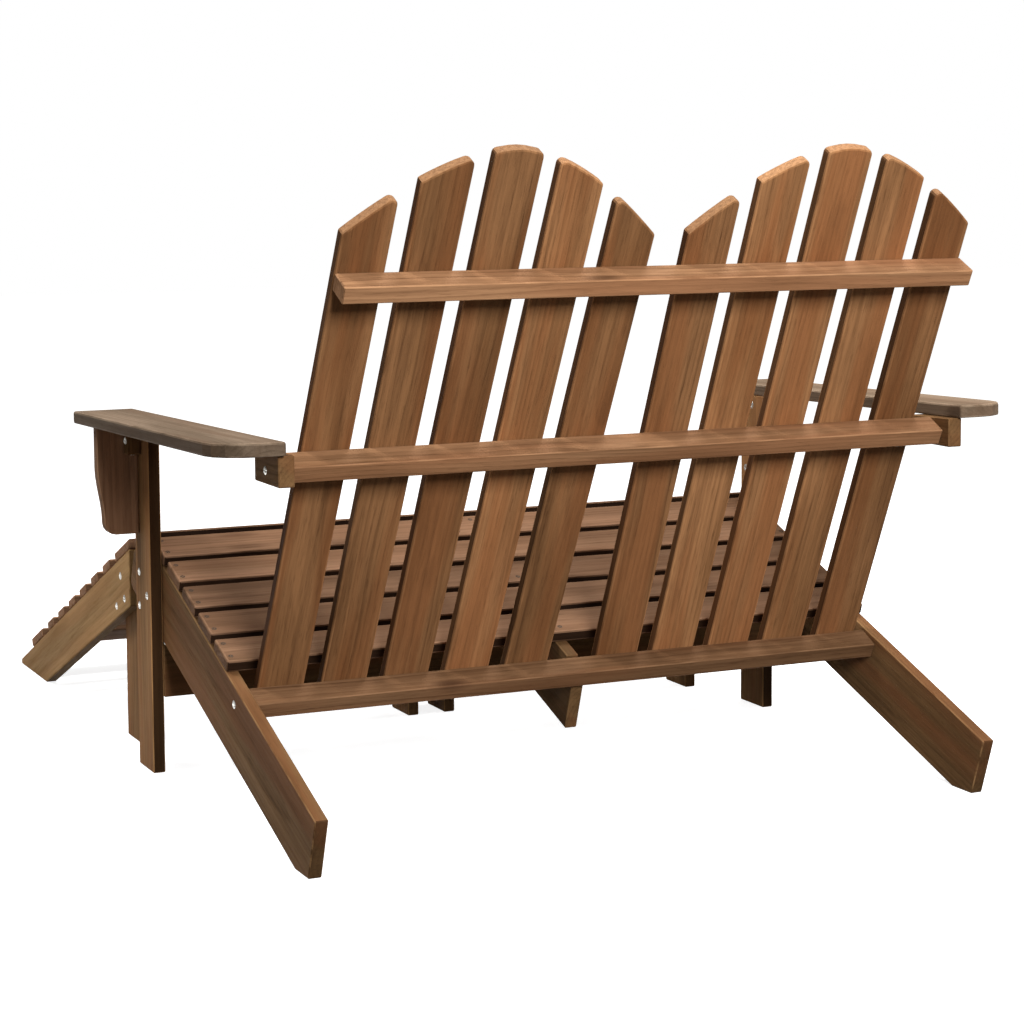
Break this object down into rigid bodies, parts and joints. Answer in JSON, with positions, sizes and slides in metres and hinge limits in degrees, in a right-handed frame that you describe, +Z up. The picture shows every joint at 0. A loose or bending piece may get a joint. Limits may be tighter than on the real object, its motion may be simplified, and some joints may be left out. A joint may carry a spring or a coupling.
{
  "type": "adirondack loveseat",
  "caption": "Slatted wooden Adirondack loveseat with a twin fan-topped reclined back, flat arms and matching sloped footstools.",
  "frame": {"origin": "on the floor, at the middle of the whole set, footstools included", "axes": "+Z up, the sitter faces -Y, +X is the sitter's left, and X is the width that the loveseat is symmetric about"},
  "size_m": [1.24, 1.6497, 0.9494],
  "materials": {
    "leg_wood": "brown stained softwood, matt",
    "stringer_wood": "brown stained softwood, matt",
    "seat_wood": "brown stained softwood, matt",
    "back_wood": "brown stained softwood, matt",
    "rail_wood": "brown stained softwood, matt",
    "arm_wood": "brown stained softwood, matt",
    "stool_wood": "brown stained softwood, matt"
  },
  "bodies": {
    "loveseat": {"centre_stringer": "stringer_wood", "front_apron": "stringer_wood", "front_seat_slat": "seat_wood", "seat_slat_1": "seat_wood", "seat_slat_2": "seat_wood", "seat_slat_3": "seat_wood", "seat_slat_4": "seat_wood", "seat_slat_5": "seat_wood", "lower_back_rail": "rail_wood", "middle_back_rail": "rail_wood", "upper_back_rail": "rail_wood", "back_slat_1": "back_wood", "back_slat_2": "back_wood", "back_slat_3": "back_wood", "back_slat_4": "back_wood", "back_slat_5": "back_wood", "back_slat_6": "back_wood", "back_slat_7": "back_wood", "back_slat_8": "back_wood", "back_slat_9": "back_wood", "back_slat_10": "back_wood", "side_stringer_left": "stringer_wood", "front_leg_left": "leg_wood", "arm_left": "arm_wood", "arm_bracket_left": "leg_wood", "front_cleat_left": "leg_wood", "rear_cleat_left": "leg_wood", "side_stringer_right": "stringer_wood", "front_leg_right": "leg_wood", "arm_right": "arm_wood", "arm_bracket_right": "leg_wood", "front_cleat_right": "leg_wood", "rear_cleat_right": "leg_wood"},
    "stool_left": {"stool_left_top_slat": "stool_wood", "stool_left_end_slat": "stool_wood", "stool_left_slat_1": "stool_wood", "stool_left_slat_2": "stool_wood", "stool_left_slat_3": "stool_wood", "stool_left_slat_4": "stool_wood", "stool_left_slat_5": "stool_wood", "stool_left_slat_6": "stool_wood", "stool_left_side_left": "stool_wood", "stool_left_leg_left": "leg_wood", "stool_left_side_right": "stool_wood", "stool_left_leg_right": "leg_wood"},
    "stool_right": {"stool_right_top_slat": "stool_wood", "stool_right_end_slat": "stool_wood", "stool_right_slat_1": "stool_wood", "stool_right_slat_2": "stool_wood", "stool_right_slat_3": "stool_wood", "stool_right_slat_4": "stool_wood", "stool_right_slat_5": "stool_wood", "stool_right_slat_6": "stool_wood", "stool_right_side_left": "stool_wood", "stool_right_leg_left": "leg_wood", "stool_right_side_right": "stool_wood", "stool_right_leg_right": "leg_wood"}
  },
  "joints": [
    {"name": "stool_left_slide", "type": "slide", "parent": "loveseat", "child": "stool_left", "axis": [0, -1, 0], "range_m": [0, 0.4]},
    {"name": "stool_right_slide", "type": "slide", "parent": "loveseat", "child": "stool_right", "axis": [0, -1, 0], "range_m": [0, 0.4]}
  ]
}
